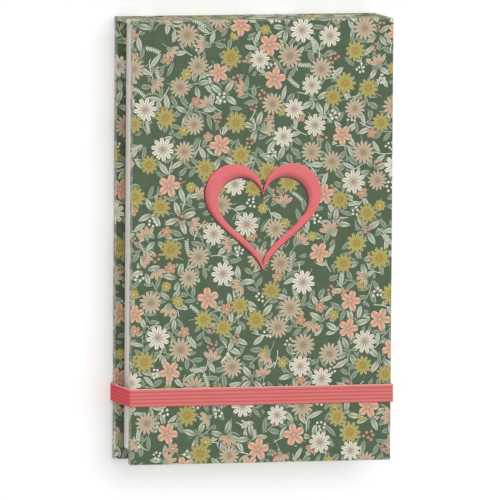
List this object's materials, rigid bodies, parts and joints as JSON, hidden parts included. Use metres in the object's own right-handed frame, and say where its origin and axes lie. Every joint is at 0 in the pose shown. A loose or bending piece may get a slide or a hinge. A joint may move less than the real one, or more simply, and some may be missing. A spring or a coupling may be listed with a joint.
{
  "type": "pocket notepad",
  "caption": "Flip-top pocket notepad: a paper-covered hard case that folds open at the head round a glued tear-off pad, kept shut by an elastic band.",
  "frame": {"origin": "middle of the footprint, on the plane that the closed notepad rests on", "axes": "+X to the right as the front cover is read, +Y along the cover to the spine at its head, +Z out of the front cover"},
  "size_m": [0.0832, 0.1348, 0.0226],
  "materials": {
    "greyboard": "raw grey bookbinding board",
    "printed_paper": "printed cover paper, satin varnish",
    "lining_paper": "uncoated lining paper",
    "sheet_paper": "uncoated writing paper",
    "chipboard": "thin grey-brown card",
    "pad_glue": "dried flexible padding glue",
    "elastic_weave": "ribbed woven elastic",
    "satin_thread": "satin stitch, raised"
  },
  "bodies": {
    "back_cover": {"back_board": "greyboard", "back_wrap": "printed_paper", "back_lining": "lining_paper", "backing_card": "chipboard", "sheets_1": "sheet_paper", "sheets_2": "sheet_paper", "sheets_3": "sheet_paper", "sheets_4": "sheet_paper", "sheets_5": "sheet_paper", "sheets_6": "sheet_paper", "sheets_7": "sheet_paper", "head_glue": "pad_glue", "elastic_band": "elastic_weave"},
    "spine": {"spine_board": "greyboard", "spine_wrap": "printed_paper", "spine_lining": "lining_paper"},
    "front_cover": {"front_board": "greyboard", "front_wrap": "printed_paper", "front_lining": "lining_paper", "cover_motif": "satin_thread"},
    "first_leaf": {"first_sheet": "sheet_paper"}
  },
  "joints": [
    {"name": "spine_fold", "type": "hinge", "parent": "back_cover", "child": "spine", "pos_m": [0, 0.0674, 0.00065], "axis": [-1, 0, 0], "range_deg": [0, 90], "deforming": ["elastic_band"]},
    {"name": "cover_fold", "type": "hinge", "parent": "spine", "child": "front_cover", "pos_m": [0, 0.0674, 0.02195], "axis": [-1, 0, 0], "range_deg": [0, 90]},
    {"name": "first_sheet_turn", "type": "hinge", "parent": "back_cover", "child": "first_leaf", "pos_m": [0, 0.0657, 0.01886], "axis": [-1, 0, 0], "range_deg": [0, 184.5]}
  ],
  "couplings": [
    {"joint": "cover_fold", "follows": "spine_fold", "ratio": 1},
    {"joint": "first_sheet_turn", "follows": "spine_fold", "ratio": 2.05}
  ]
}
